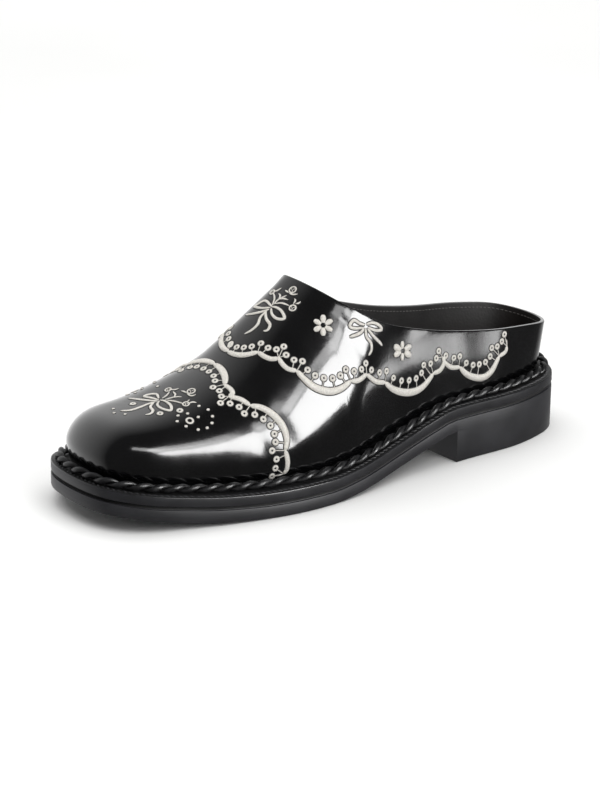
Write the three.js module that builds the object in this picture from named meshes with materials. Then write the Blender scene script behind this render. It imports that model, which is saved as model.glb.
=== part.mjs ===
// A left leather slipper with a low closed back, a square toe and a block heel.
// Millimetres: the toe points along -Y, +X is the outer side of the foot and +Z is up.
import * as THREE from "three";

// Driving sizes of the whole shoe
const SHOE_LENGTH = 282; // outsole, from the heel's back to the toe's tip
const BALL_WIDTH = 101; // outsole at its widest
const INSTEP_HEIGHT = 82; // crown of the last above the welt, at the throat
const BACK_HEIGHT = 23.6; // topline above the welt, at the heel's back
const THROAT_RISE = 44; // throat's peak above the topline at the heel's back
const HEEL_HEIGHT = 15.8; // floor to heel seat
const HEEL_LENGTH = 84.6; // heel's back to its breast
const TOE_SPRING = 9.3; // floor to the underside of the toe's tip
const TREAD_START = 0.6; // the forefoot lies flat between these shares of the length
const TREAD_END = 0.7;

// Sole layers
const OUTSOLE_THICKNESS = 7.45;
const GROOVE_HEIGHT = 1.6; // step round the outsole's upper edge
const GROOVE_DEPTH = 1.3;
const MIDSOLE_THICKNESS = 2.75;
const WELT_THICKNESS = 1.5;
const INSOLE_THICKNESS = 4;

// Upper and braid
const UPPER_WALL = 2;
const WELT_MARGIN = 10.8; // widest strip of welt outside the upper
const FLARE_REACH = 42; // height over which the walls lean
const TOE_SPINE = 0.855; // ends of the line over which the sections close, shares of the length
const HEEL_SPINE = 0.14;
const SPINE_BLEND = 0.05; // length over which the columns turn round an end of that line
const BRAID_DIAMETER = 5.2;
const BRAID_LAY = 8.5; // length of one lump of the twisted cord
const BRAID_RELIEF = 0.8; // depth of the valleys between its lumps

// Clearances
const PIECE_GAP = 0.3; // between curved pieces that meet
const INSOLE_GAP = 0.7; // round the insole

// Fineness of the meshes
const EDGE_SAMPLES = 1200;
const SOLE_STATIONS = 60;
const VAMP_COLUMNS = 24; // a side, toe to throat
const QUARTER_COLUMNS = 28; // a side, throat to heel's back
const WALL_ROWS = 12;
const BRAID_GUIDES = 60; // a side, points that its route is drawn through
const BRAID_SIDES = 8;
const BRAID_STEPS = 3; // for each lump
const BRAID_STRANDS = 2;
const CLEARANCE_STEPS = 12;
const SEARCH_STEPS = 40;
const WELD = 1e-4; // corners nearer than this are one vertex

// Edge of the outsole, round from the heel's back by the outer side to the toe and back by the
// inner side: along is a share of SHOE_LENGTH from the heel's back, out a share of BALL_WIDTH.
const OUTSOLE_EDGE = [
  { along: 0, out: 0 },
  { along: 0.035, out: 0.226 },
  { along: 0.14, out: 0.356 },
  { along: 0.28, out: 0.386 },
  { along: 0.42, out: 0.426 },
  { along: 0.54, out: 0.495 },
  { along: 0.65, out: 0.52 },
  { along: 0.76, out: 0.48 },
  { along: 0.86, out: 0.406 },
  { along: 0.94, out: 0.322 },
  { along: 0.985, out: 0.203 },
  { along: 1, out: -0.015 },
  { along: 0.985, out: -0.243 },
  { along: 0.94, out: -0.396 },
  { along: 0.86, out: -0.455 },
  { along: 0.77, out: -0.48 },
  { along: 0.7, out: -0.48 },
  { along: 0.58, out: -0.396 },
  { along: 0.44, out: -0.317 },
  { along: 0.28, out: -0.332 },
  { along: 0.14, out: -0.347 },
  { along: 0.035, out: -0.213 },
];

// Underside from the breast, reach 0, to the tread, reach 1: lift is a share of HEEL_HEIGHT.
const ARCH_LINE = [
  { reach: -0.2, lift: 1 },
  { reach: 0, lift: 1 },
  { reach: 0.2, lift: 0.775 },
  { reach: 0.4, lift: 0.5 },
  { reach: 0.6, lift: 0.28 },
  { reach: 0.8, lift: 0.105 },
  { reach: 1, lift: 0 },
  { reach: 1.2, lift: 0 },
];

// Underside from the tread, reach 0, to the toe's tip, reach 1: lift is a share of TOE_SPRING.
const TOE_LINE = [
  { reach: -0.3, lift: 0 },
  { reach: 0, lift: 0 },
  { reach: 0.33, lift: 0.135 },
  { reach: 0.67, lift: 0.485 },
  { reach: 1, lift: 1 },
];

// Sections of the last. crown: height over the welt where the section closes, a share of
// INSTEP_HEIGHT. shift: crown's way outwards, a share of BALL_WIDTH. power: 2 is an ellipse and more
// is boxier. bulge and skew: how far both walls stand out over their foot, and how much more
// the outer one does, shares of BALL_WIDTH. flare: outward lean of the wall, a slope.
// welt: welt outside the upper, a share of WELT_MARGIN.
const SECTIONS = [
  { along: 0, crown: 1.83, shift: 0, power: 2.6, bulge: 0.01, skew: 0, flare: 0.11, welt: 0.65 },
  { along: 0.05, crown: 1.82, shift: 0, power: 2.6, bulge: 0.009, skew: -0.008, flare: 0.12, welt: 0.74 },
  { along: 0.1, crown: 1.8, shift: 0, power: 2.6, bulge: 0.006, skew: -0.006, flare: 0.01, welt: 0.79 },
  { along: 0.2, crown: 1.71, shift: 0, power: 2.6, bulge: 0.003, skew: 0.001, flare: -0.09, welt: 0.75 },
  { along: 0.3, crown: 1.57, shift: 0, power: 2.6, bulge: 0.003, skew: 0.003, flare: -0.1, welt: 0.68 },
  { along: 0.4, crown: 1.39, shift: -0.015, power: 2.4, bulge: 0.005, skew: 0.009, flare: -0.06, welt: 0.67 },
  { along: 0.5, crown: 1.15, shift: -0.038, power: 2.2, bulge: 0.011, skew: 0.011, flare: -0.03, welt: 0.68 },
  { along: 0.55, crown: 1.005, shift: -0.049, power: 2.08, bulge: 0.017, skew: 0.008, flare: 0, welt: 0.74 },
  { along: 0.6, crown: 0.89, shift: -0.05, power: 2.06, bulge: 0.022, skew: 0.006, flare: 0, welt: 0.82 },
  { along: 0.65, crown: 0.759, shift: -0.05, power: 2.1, bulge: 0.025, skew: 0.005, flare: 0, welt: 0.93 },
  { along: 0.7, crown: 0.621, shift: -0.049, power: 2.2, bulge: 0.024, skew: 0.004, flare: 0, welt: 0.98 },
  { along: 0.75, crown: 0.538, shift: -0.045, power: 2.4, bulge: 0.022, skew: 0.002, flare: 0, welt: 1 },
  { along: 0.8, crown: 0.462, shift: -0.04, power: 2.7, bulge: 0.021, skew: 0, flare: 0, welt: 1 },
  { along: 0.85, crown: 0.4, shift: -0.036, power: 3.1, bulge: 0.02, skew: 0, flare: 0, welt: 0.98 },
  { along: 0.9, crown: 0.358, shift: -0.033, power: 3.5, bulge: 0.02, skew: 0, flare: 0, welt: 0.95 },
  { along: 0.95, crown: 0.336, shift: -0.031, power: 3.8, bulge: 0.026, skew: 0, flare: 0, welt: 0.9 },
  { along: 1, crown: 0.314, shift: -0.03, power: 3.9, bulge: 0.03, skew: 0, flare: 0, welt: 0.8 },
];

// Topline seen from the side: rise over its height at the heel's back, a share of THROAT_RISE.
const TOPLINE = [
  { along: 0, rise: 0 },
  { along: 0.05, rise: 0.068 },
  { along: 0.1, rise: 0.109 },
  { along: 0.2, rise: 0.184 },
  { along: 0.3, rise: 0.295 },
  { along: 0.38, rise: 0.427 },
  { along: 0.45, rise: 0.577 },
  { along: 0.51, rise: 0.798 },
  { along: 0.55, rise: 0.993 },
  { along: 0.6, rise: 1.241 },
];

const MATERIALS = {
  upper: { color: 0x17171a, roughness: 0.3, metalness: 0 },
  insole: { color: 0x1c1613, roughness: 0.7, metalness: 0 },
  welt: { color: 0x1f1f22, roughness: 0.45, metalness: 0 },
  welt_braid: { color: 0x1d1d20, roughness: 0.4, metalness: 0 },
  midsole: { color: 0x2a2a2d, roughness: 0.4, metalness: 0 },
  outsole: { color: 0x3a3a3d, roughness: 0.5, metalness: 0 },
  heel: { color: 0x3c3c3f, roughness: 0.55, metalness: 0 },
};

// Derived sizes
const BREAST = HEEL_LENGTH / SHOE_LENGTH;
const MIDSOLE_BOTTOM = OUTSOLE_THICKNESS + PIECE_GAP;
const MIDSOLE_TOP = MIDSOLE_BOTTOM + MIDSOLE_THICKNESS;
const WELT_BOTTOM = MIDSOLE_TOP + PIECE_GAP;
const WELT_TOP = WELT_BOTTOM + WELT_THICKNESS;
const BRAID_RADIUS = BRAID_DIAMETER / 2;
const BULGE_SCALE = 27 / 4; // brings the peak of the bulge curve to one
const QUARTER_TURN = Math.PI / 2;
const FULL_TURN = Math.PI * 2;

const { lerp, clamp } = THREE.MathUtils;

const yAt = (along) => (0.5 - along) * SHOE_LENGTH;
const alongAt = (y) => 0.5 - y / SHOE_LENGTH;

// Slope of a table at one row: none at a peak or a level stretch, so that no curve overshoots.
function tableSlope(rows, key, column, row) {
  const secant = (k) => (rows[k + 1][column] - rows[k][column]) / (rows[k + 1][key] - rows[k][key]);
  if (row === 0) return secant(0);
  if (row === rows.length - 1) return secant(row - 1);
  const before = secant(row - 1);
  const after = secant(row);
  return before * after <= 0 ? 0 : (2 * before * after) / (before + after);
}

// Smooth value of a table's column where its key has the value at.
function readTable(rows, key, column, at) {
  const last = rows.length - 1;
  const place = clamp(at, rows[0][key], rows[last][key]);
  let row = 0;
  while (row < last - 1 && place > rows[row + 1][key]) row += 1;
  const width = rows[row + 1][key] - rows[row][key];
  const t = (place - rows[row][key]) / width;
  const start = rows[row][column];
  const end = rows[row + 1][column];
  const out = tableSlope(rows, key, column, row) * width;
  const into = tableSlope(rows, key, column, row + 1) * width;
  const rise = end - start;
  return start + t * (out + t * (3 * rise - 2 * out - into + t * (out + into - 2 * rise)));
}

const section = (column, along) => readTable(SECTIONS, "along", column, along);

// Height of the sole's underside over the floor.
function undersideHeight(along) {
  if (along <= BREAST) return HEEL_HEIGHT;
  if (along <= TREAD_START) {
    const reach = (along - BREAST) / (TREAD_START - BREAST);
    return HEEL_HEIGHT * readTable(ARCH_LINE, "reach", "lift", reach);
  }
  if (along <= TREAD_END) return 0;
  return TOE_SPRING * readTable(TOE_LINE, "reach", "lift", (along - TREAD_END) / (1 - TREAD_END));
}

const weltHeight = (y) => undersideHeight(alongAt(y)) + WELT_TOP;
const footHeight = (y) => weltHeight(y) + PIECE_GAP;

function toplineHeight(along) {
  const back = HEEL_HEIGHT + WELT_TOP + BACK_HEIGHT;
  return back + THROAT_RISE * readTable(TOPLINE, "along", "rise", along);
}

// A surface of shared vertices, whose triangles are given by their corners.
class Surface {
  constructor() {
    this.points = [];
    this.triangles = [];
    this.numbers = new Map();
  }

  number(point) {
    const key = point.toArray().map((value) => Math.round(value / WELD)).join();
    if (!this.numbers.has(key)) {
      this.numbers.set(key, this.points.length);
      this.points.push(point.clone());
    }
    return this.numbers.get(key);
  }

  triangle(...corners) {
    const numbers = corners.map((point) => this.number(point));
    if (new Set(numbers).size === corners.length) this.triangles.push(numbers);
  }

  quad(a, b, c, d) {
    this.triangle(a, b, c);
    this.triangle(a, c, d);
  }

  // Joins two closed loops of as many points; it faces out when they turn anticlockwise from above.
  strip(lower, upper) {
    lower.forEach((point, i) => {
      const next = (i + 1) % lower.length;
      this.quad(point, lower[next], upper[next], upper[i]);
    });
  }

  geometry() {
    const made = new THREE.BufferGeometry();
    made.setAttribute(
      "position",
      new THREE.Float32BufferAttribute(this.points.flatMap((point) => point.toArray()), 3),
    );
    made.setIndex(this.triangles.flat());
    made.computeVertexNormals();
    return made;
  }
}

// A closed line of the sole, kept as its outer and inner side, each from the toe's tip to the
// heel's back. Every point knows the direction that faces out of the shoe.
class EdgeLine {
  constructor(points) {
    const count = points.length;
    const directed = points.map((point, i) => {
      const ahead = points[(i + 1) % count];
      const behind = points[(i + count - 1) % count];
      const outward = new THREE.Vector3(behind.y - ahead.y, ahead.x - behind.x, 0).normalize();
      return { point, outward };
    });
    const tip = points.reduce((best, point, i) => (point.y < points[best].y ? i : best), 0);
    this.points = directed;
    this.lateral = directed.slice(0, tip + 1).reverse();
    this.medial = [...directed.slice(tip), directed[0]];
    this.tipAlong = alongAt(points[tip].y);
    this.backAlong = alongAt(points[0].y);
  }

  // The same line moved inwards by inset(along).
  moved(inset) {
    return new EdgeLine(
      this.points.map(({ point, outward }) =>
        point.clone().addScaledVector(outward, -inset(alongAt(point.y))),
      ),
    );
  }

  // How far a side stands out from the centre line at one place along the shoe.
  sideAt(side, along) {
    const run = this[side];
    const y = yAt(along);
    let low = 0;
    let high = run.length - 1;
    while (high - low > 1) {
      const middle = Math.floor((low + high) / 2);
      if (run[middle].point.y < y) low = middle;
      else high = middle;
    }
    const from = run[low].point;
    const to = run[high].point;
    return lerp(from.x, to.x, clamp((y - from.y) / (to.y - from.y), 0, 1));
  }

  // The point and direction at a share of one side's own length, from the toe's tip.
  pointAt(side, share) {
    const run = this[side];
    const lengths = [0];
    for (let i = 1; i < run.length; i += 1) {
      lengths.push(lengths[i - 1] + run[i].point.distanceTo(run[i - 1].point));
    }
    const target = share * lengths[lengths.length - 1];
    let i = 1;
    while (i < run.length - 1 && lengths[i] < target) i += 1;
    const t = clamp((target - lengths[i - 1]) / (lengths[i] - lengths[i - 1]), 0, 1);
    return {
      point: run[i - 1].point.clone().lerp(run[i].point, t),
      outward: run[i - 1].outward.clone().lerp(run[i].outward, t).normalize(),
    };
  }
}

function outsoleEdge() {
  const corners = OUTSOLE_EDGE.map(({ along, out }) => new THREE.Vector3(out * BALL_WIDTH, yAt(along), 0));
  const curve = new THREE.CatmullRomCurve3(corners, true, "centripetal");
  return new EdgeLine(curve.getPoints(EDGE_SAMPLES).slice(0, EDGE_SAMPLES));
}

const outline = outsoleEdge();
const footLine = outline.moved((along) => WELT_MARGIN * section("welt", along));
const wallLine = footLine.moved(() => UPPER_WALL + INSOLE_GAP);

// Shares of a line's length, close together at both ends, with one exactly on each fixed share.
function stationShares(count, fixed) {
  const shares = Array.from({ length: count + 1 }, (_, i) => (1 - Math.cos((Math.PI * i) / count)) / 2);
  for (const place of fixed) {
    const gaps = shares.map((share) => Math.abs(share - place));
    shares[gaps.indexOf(Math.min(...gaps))] = place;
  }
  return shares;
}

const soleShares = stationShares(SOLE_STATIONS, [BREAST, TREAD_START, TREAD_END]);

// One level of a plate: pairs of edge points from the heel's back to the toe's tip.
function plateLevel(edge, shares, height) {
  return shares.map((share) => {
    const along = lerp(edge.backAlong, edge.tipAlong, share);
    const end = share === 0 || share === 1;
    const x = { lateral: edge.sideAt("lateral", along), medial: edge.sideAt("medial", along) };
    if (end) x.lateral = x.medial;
    const point = (side) => new THREE.Vector3(x[side], yAt(along), height(along));
    return { lateral: point("lateral"), medial: point("medial") };
  });
}

// A level's points in one loop, anticlockwise from above.
function levelLoop(level) {
  return [...level.map(({ lateral }) => lateral).reverse(), ...level.map(({ medial }) => medial)];
}

// A solid plate from its levels, lowest first; where the line is cut short its end is flat.
function plate(levels) {
  const surface = new Surface();
  const cap = (level, flip) => {
    for (let i = 0; i + 1 < level.length; i += 1) {
      const corners = [level[i].medial, level[i + 1].medial, level[i + 1].lateral, level[i].lateral];
      surface.quad(...(flip ? corners.reverse() : corners));
    }
  };
  cap(levels[0], true);
  for (let k = 0; k + 1 < levels.length; k += 1) {
    surface.strip(levelLoop(levels[k]), levelLoop(levels[k + 1]));
  }
  cap(levels[levels.length - 1], false);
  return surface.geometry();
}

function outsole() {
  const height = (thickness) => (along) => undersideHeight(along) + thickness;
  const stepLine = outline.moved(() => GROOVE_DEPTH);
  const ledge = OUTSOLE_THICKNESS - GROOVE_HEIGHT;
  return plate([
    plateLevel(outline, soleShares, height(0)),
    plateLevel(outline, soleShares, height(ledge)),
    plateLevel(stepLine, soleShares, height(ledge)),
    plateLevel(stepLine, soleShares, height(OUTSOLE_THICKNESS)),
  ]);
}

function midsole() {
  return plate([
    plateLevel(outline, soleShares, (along) => undersideHeight(along) + MIDSOLE_BOTTOM),
    plateLevel(outline, soleShares, (along) => undersideHeight(along) + MIDSOLE_TOP),
  ]);
}

function insole() {
  const bottom = MIDSOLE_TOP + PIECE_GAP;
  return plate([
    plateLevel(wallLine, soleShares, (along) => undersideHeight(along) + bottom),
    plateLevel(wallLine, soleShares, (along) => undersideHeight(along) + bottom + INSOLE_THICKNESS),
  ]);
}

function heel() {
  const heelShares = soleShares.filter((share) => share <= BREAST);
  return plate([
    plateLevel(outline, heelShares, () => 0),
    plateLevel(outline, heelShares, () => HEEL_HEIGHT),
  ]);
}

// Shares of a side, toe's tip to heel's back, evenly spaced.
const evenShares = (count) => Array.from({ length: count + 1 }, (_, i) => i / count);

// Goes round both sides: out along the outer one to the heel's back, home along the inner one.
function aroundShoe(shares, make) {
  const outer = shares.map((share) => make("lateral", share));
  const inner = shares.slice(1, -1).map((share) => make("medial", share));
  return [...outer, ...inner.reverse()];
}

// A closed ring from loops that go round its section.
function ring(loops) {
  const surface = new Surface();
  loops.forEach((loop, k) => surface.strip(loop, loops[(k + 1) % loops.length]));
  return surface.geometry();
}

function welt() {
  const innerLine = wallLine.moved(() => -INSOLE_GAP);
  const loop = (edge, thickness) =>
    levelLoop(plateLevel(edge, soleShares, (along) => undersideHeight(along) + thickness));
  return ring([
    loop(outline, WELT_BOTTOM),
    loop(outline, WELT_TOP),
    loop(innerLine, WELT_TOP),
    loop(innerLine, WELT_BOTTOM),
  ]);
}

// Keeps a place between both ends of the spine, turning smoothly into each end.
function spineAlong(along) {
  const toe = (value) => {
    const past = clamp(value - TOE_SPINE + SPINE_BLEND, 0, 2 * SPINE_BLEND);
    return Math.min(value, TOE_SPINE + SPINE_BLEND) - past ** 2 / (4 * SPINE_BLEND);
  };
  return HEEL_SPINE + TOE_SPINE - toe(HEEL_SPINE + TOE_SPINE - toe(along));
}

// One column of the upper: its foot on the welt, and the point of the spine that it leans to.
function column(side, share) {
  const foot = footLine.pointAt(side, share);
  const other = footLine.pointAt(side === "lateral" ? "medial" : "lateral", share);
  const along = spineAlong(alongAt((foot.point.y + other.point.y) / 2));
  const spine = new THREE.Vector3(section("shift", along) * BALL_WIDTH, yAt(along), 0);
  const lean = side === "lateral" ? 1 : -1;
  return { ...foot, spine, lean, along: alongAt(foot.point.y) };
}

// A point of the upper's outside: turn goes from 0 at the foot to a quarter turn at the crown.
function upperPoint({ point, outward, spine, lean, along }, turn) {
  const power = 2 / section("power", along);
  const inward = turn >= QUARTER_TURN ? 0 : Math.cos(turn) ** power;
  const upward = Math.sin(turn) ** power;
  const place = spine.clone().lerp(point, inward);
  const rise = INSTEP_HEIGHT * section("crown", alongAt(place.y)) * upward;
  const swell = BALL_WIDTH * (section("bulge", along) + lean * section("skew", along));
  const bulge = swell * BULGE_SCALE * upward * (1 - upward) ** 2;
  const flare = section("flare", along) * Math.min(rise, FLARE_REACH) * Math.sign(inward);
  place.addScaledVector(outward, bulge + flare);
  return place.setZ(footHeight(place.y) + rise);
}

// Turn at which a column meets the topline.
function toplineTurn(made) {
  const over = (turn) => {
    const point = upperPoint(made, turn);
    return point.z - toplineHeight(alongAt(point.y));
  };
  return bisect(over, 0, QUARTER_TURN);
}

// Where a rising function passes zero.
function bisect(over, from, to) {
  let low = from;
  let high = to;
  for (let i = 0; i < SEARCH_STEPS; i += 1) {
    const middle = (low + high) / 2;
    if (over(middle) > 0) high = middle;
    else low = middle;
  }
  return (low + high) / 2;
}

// Share of a side at which its column reaches the throat, where the crown meets the topline.
function throatShare() {
  const over = (share) => {
    const { spine } = column("lateral", share);
    const crown = footHeight(spine.y) + INSTEP_HEIGHT * section("crown", alongAt(spine.y));
    return crown - toplineHeight(alongAt(spine.y));
  };
  return bisect(over, 0, 1);
}

const throat = throatShare();

// Columns of a side: even up to the throat, then close together where the topline turns round it.
function sideShares() {
  const ahead = evenShares(VAMP_COLUMNS).map((t) => t * throat);
  const spread = (t) => t * lerp(t, 1, t);
  const behind = evenShares(QUARTER_COLUMNS).map((t) => throat + (1 - throat) * spread(t));
  return [...ahead, ...behind.slice(1)];
}

const columnShares = sideShares();

// Gives an open skin a wall on its inner side, with a rim along each free edge.
function thickened(skin, footNumbers, wall) {
  const normals = skin.points.map(() => new THREE.Vector3());
  const edges = new Set(skin.triangles.flatMap(([a, b, c]) => [`${a},${b}`, `${b},${c}`, `${c},${a}`]));
  for (const [a, b, c] of skin.triangles) {
    const first = skin.points[b].clone().sub(skin.points[a]);
    const second = skin.points[c].clone().sub(skin.points[a]);
    const normal = first.cross(second);
    for (const corner of [a, b, c]) normals[corner].add(normal);
  }
  const inside = skin.points.map((point, i) => {
    const foot = footNumbers.has(i);
    const normal = foot ? normals[i].setZ(0) : normals[i];
    const place = point.clone().addScaledVector(normal.normalize(), -wall);
    return foot ? place.setZ(footHeight(place.y)) : place;
  });
  const solid = new Surface();
  for (const [a, b, c] of skin.triangles) {
    solid.triangle(skin.points[a], skin.points[b], skin.points[c]);
    solid.triangle(inside[c], inside[b], inside[a]);
    for (const [from, to] of [[a, b], [b, c], [c, a]]) {
      if (edges.has(`${to},${from}`)) continue;
      solid.quad(skin.points[to], skin.points[from], inside[from], inside[to]);
    }
  }
  return solid.geometry();
}

function upper() {
  const columns = aroundShoe(columnShares, (side, share) => {
    const made = column(side, share);
    const top = share <= throat ? QUARTER_TURN : toplineTurn(made);
    return evenShares(WALL_ROWS).map((t) => upperPoint(made, t * top));
  });
  const rows = columns[0].map((_, row) => columns.map((points) => points[row]));
  const skin = new Surface();
  for (let row = 0; row < WALL_ROWS; row += 1) skin.strip(rows[row], rows[row + 1]);
  const footNumbers = new Set(rows[0].map((point) => skin.number(point)));
  return thickened(skin, footNumbers, UPPER_WALL);
}

// How far out from a column's foot the braid's centre lies, clear of the wall at every height.
function braidOffset(made) {
  const room = Array.from({ length: CLEARANCE_STEPS }, (_, i) => {
    const height = BRAID_DIAMETER * ((i + 1) / CLEARANCE_STEPS);
    const over = (turn) => upperPoint(made, turn).z - footHeight(made.point.y) - height;
    const wall = upperPoint(made, bisect(over, 0, QUARTER_TURN));
    const proud = wall.setZ(0).sub(made.point).dot(made.outward);
    return proud + Math.sqrt(BRAID_RADIUS ** 2 - (height - BRAID_RADIUS) ** 2);
  });
  return Math.max(BRAID_RADIUS, ...room) + PIECE_GAP;
}

function braidRoute() {
  const guides = aroundShoe(evenShares(BRAID_GUIDES), (side, share) => {
    const made = column(side, share);
    const place = made.point.clone().addScaledVector(made.outward, braidOffset(made));
    return place.setZ(footHeight(place.y) + BRAID_RADIUS);
  });
  return new THREE.CatmullRomCurve3(guides, true);
}

function weltBraid() {
  const route = braidRoute();
  const lumps = Math.round(route.getLength() / BRAID_LAY);
  const steps = lumps * BRAID_STEPS;
  const up = new THREE.Vector3(0, 0, 1);
  const loops = evenShares(BRAID_SIDES).slice(0, BRAID_SIDES).map((part) => {
    const angle = part * FULL_TURN;
    return evenShares(steps).slice(0, steps).map((share) => {
      const tangent = route.getTangentAt(share);
      const outward = tangent.clone().cross(up).normalize();
      const raised = outward.clone().cross(tangent);
      const phase = BRAID_STRANDS * angle - share * lumps * FULL_TURN;
      const radius = BRAID_RADIUS - BRAID_RELIEF * (0.5 - 0.5 * Math.cos(phase));
      return route
        .getPointAt(share)
        .addScaledVector(outward, radius * Math.cos(angle))
        .addScaledVector(raised, radius * Math.sin(angle));
    });
  });
  return ring(loops);
}

const SHAPES = { upper, insole, welt, welt_braid: weltBraid, midsole, outsole, heel };

const shoe = new THREE.Group();
for (const [name, shape] of Object.entries(SHAPES)) {
  const mesh = new THREE.Mesh(shape(), new THREE.MeshStandardMaterial(MATERIALS[name]));
  mesh.name = name;
  shoe.add(mesh);
}

// The origin is on the floor, under the middle of the shoe's box.
const box = new THREE.Box3().setFromObject(shoe);
const middle = box.getCenter(new THREE.Vector3());
shoe.position.set(-middle.x, -middle.y, -box.min.z);

export default shoe;
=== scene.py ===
"""Looks of a left leather slipper: polished black upper with white satin embroidery, a twisted
cord round the welt, a stacked sole and a block heel. Metres, in the frame of the solids."""

import math

import bpy
from mathutils import Matrix, Quaternion, Vector
from mathutils.bvhtree import BVHTree
from mathutils.kdtree import KDTree


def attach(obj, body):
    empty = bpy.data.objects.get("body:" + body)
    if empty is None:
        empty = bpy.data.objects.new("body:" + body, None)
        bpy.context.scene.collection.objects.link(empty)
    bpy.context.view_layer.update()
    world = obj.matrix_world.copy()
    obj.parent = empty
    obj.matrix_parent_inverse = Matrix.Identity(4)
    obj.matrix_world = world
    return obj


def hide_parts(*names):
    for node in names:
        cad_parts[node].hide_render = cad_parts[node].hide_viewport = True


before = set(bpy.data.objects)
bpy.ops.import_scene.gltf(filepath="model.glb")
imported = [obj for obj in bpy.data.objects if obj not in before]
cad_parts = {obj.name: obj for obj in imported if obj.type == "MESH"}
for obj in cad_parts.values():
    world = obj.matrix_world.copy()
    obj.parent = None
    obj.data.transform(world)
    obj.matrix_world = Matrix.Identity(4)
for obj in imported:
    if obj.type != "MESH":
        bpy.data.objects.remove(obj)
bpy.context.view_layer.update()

MM = 0.001
UP = Vector((0, 0, 1))

# The camera, in degrees, millimetres and pixels of the 600 x 800 picture
FRAME_SIZE = (600, 800)
CAMERA_AZIMUTH = 52.69
CAMERA_ELEVATION = 20.02
CAMERA_ROLL = -1.08
CAMERA_DISTANCE = 1503.0
PIXELS_PER_MM = 2.045  # at the point that the camera looks at
AIM = (-1.768, 0.0, 0.0)
AIM_PIXEL = (316.12, 461.53)
SENSOR = 36.0

# The upper
WELD = 1e-5
QUAD_BEND = math.radians(50)  # two triangles that bend no more than this become one face
QUAD_SKEW = math.radians(70)
SHARP = math.radians(50)
RIM_BEVEL = 0.5
MIDDLE_LINE = -2.5  # x of the line that the ornament is laid out from, in millimetres
FAN_REACH = 200.0
CREASE_STEPS = 12
CREASE_REACH = 2.5  # share of a crease's width beyond which it presses no more
CREASE_FACING = 0.2  # cosine of the turn from a crease's outward way that is still pressed
CAVITY = (-112.0, 118.0)  # y of the ends of the hollow's middle line
CAVITY_RISE = 14  # height of that line over the welt
LINING_ENDS = (-90.0, 100.0)  # y between which the collar's stitches look for the lining straight in
LINING_STEP = 6
LINING_LOOK = 20
RIM_LOW = 8  # sharp lines nearer the welt than this are not the collar's
RIM_POINTS = 40  # and the collar's lines have more points than this

# Soft troughs (depth above 0) and ridges (below 0) of the upper: each end is a place along the
# shoe, y in millimetres, and a lean from upright, in degrees, outer side above 0.
CREASES = [
    {"ends": ((-60, 30), (-44, 74)), "width": 4.5, "depth": 0.22},
    {"ends": ((-50, -34), (-42, -76)), "width": 4.5, "depth": 0.22},
    {"ends": ((-48, 42), (-32, 78)), "width": 5.0, "depth": -0.15},
    {"ends": ((-66, 44), (-58, 80)), "width": 3.6, "depth": 0.16},
    {"ends": ((-62, -46), (-56, -80)), "width": 3.6, "depth": 0.16},
    {"ends": ((-8, 19), (-1, 38)), "width": 2.4, "depth": 0.26},
    {"ends": ((-8, -19), (-1, -38)), "width": 2.4, "depth": 0.26},
    {"ends": ((-2, 52), (14, 66)), "width": 6.0, "depth": 0.25},
    {"ends": ((-2, -52), (14, -66)), "width": 6.0, "depth": 0.25},
    {"ends": ((52, 66), (66, 84)), "width": 7.0, "depth": 0.2},
    {"ends": ((52, -66), (66, -84)), "width": 7.0, "depth": 0.2},
]

# Scalloped borders of the embroidery, in pixels of the picture, from the shoe's middle line out
# to the end; half width at the middle of each scallop, in millimetres, before BORDER_SWELL.
QUARTER_SCALLOPS = [
    {"half": 1.35, "line": [(228, 351.6), (234, 354.2), (241, 355.2), (249, 354.4), (257.8, 352)]},
    {"half": 1.15, "line": [(257.8, 352), (264.5, 356.6), (272, 359.2), (278.6, 358)]},
    {"half": 1.1, "line": [(278.6, 358), (282.4, 364.2), (288.6, 369.2), (296.8, 370.8)]},
    {
        "half": 1.65,
        "line": [(296.8, 370.8), (304.6, 379.4), (313.4, 386.6), (323.4, 390.6), (332.4, 391.2),
                 (341.6, 388.2), (350.8, 381)],
    },
    {"half": 1.15, "line": [(350.8, 381), (358.6, 380.2), (366.6, 374)]},
    {"half": 1.15, "line": [(366.8, 374.4), (375.4, 381.2), (385, 382.6)]},
    {
        "half": 1.7,
        "line": [(385, 382.6), (393, 389), (403, 392.3), (413, 391.8), (421.6, 387.6),
                 (428.6, 380), (433, 373.6)],
    },
    {"half": 1.15, "line": [(433, 373.6), (440, 370), (443.8, 362.4), (442.4, 356.8)]},
    {"half": 1.1, "line": [(443.6, 361.6), (451, 367.2), (459.6, 367.2)]},
    {
        "half": 1.6,
        "line": [(459.6, 367.2), (466.4, 374), (475.6, 377.6), (484.2, 377), (491.4, 371),
                 (496, 362.6), (499, 356.2)],
    },
    {"half": 1.0, "line": [(499, 356.2), (505.2, 351.8), (506.8, 346.2)]},
]
QUARTER_END = {"half": 0.4, "line": [(506.8, 346.2), (506.4, 339.4)]}
QUARTER_RINGS = [
    (230.4, 345.2), (236.7, 347.2), (243.8, 347.6), (251.7, 346.6), (260.9, 343.4), (268, 347.9),
    (276.4, 349.5), (283.7, 346.7), (286.1, 355), (293.9, 360), (302.4, 361.3), (307.6, 369.9),
    (315, 375.5), (323.7, 378.1), (332.5, 378.4), (340.3, 375.6), (345.7, 369.6), (354, 371.4),
    (361.4, 369.3), (365.7, 363.3), (371.4, 370), (379.4, 372.6), (386.4, 371.1), (393.3, 377.9),
    (401.4, 380.7), (409, 380.3), (416, 378.3), (421.4, 372.9), (423.6, 365), (430.4, 363.6),
    (436.1, 358.3), (438.6, 351.1), (445.7, 355.7), (453.7, 357.9), (459.6, 356.4), (466.1, 362.9),
    (472.9, 365), (479.1, 364.3), (485.3, 362.1), (490, 356.4), (491.7, 347.9), (497.1, 346.4),
    (501.7, 341.4), (504.3, 334.3),
]
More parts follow.
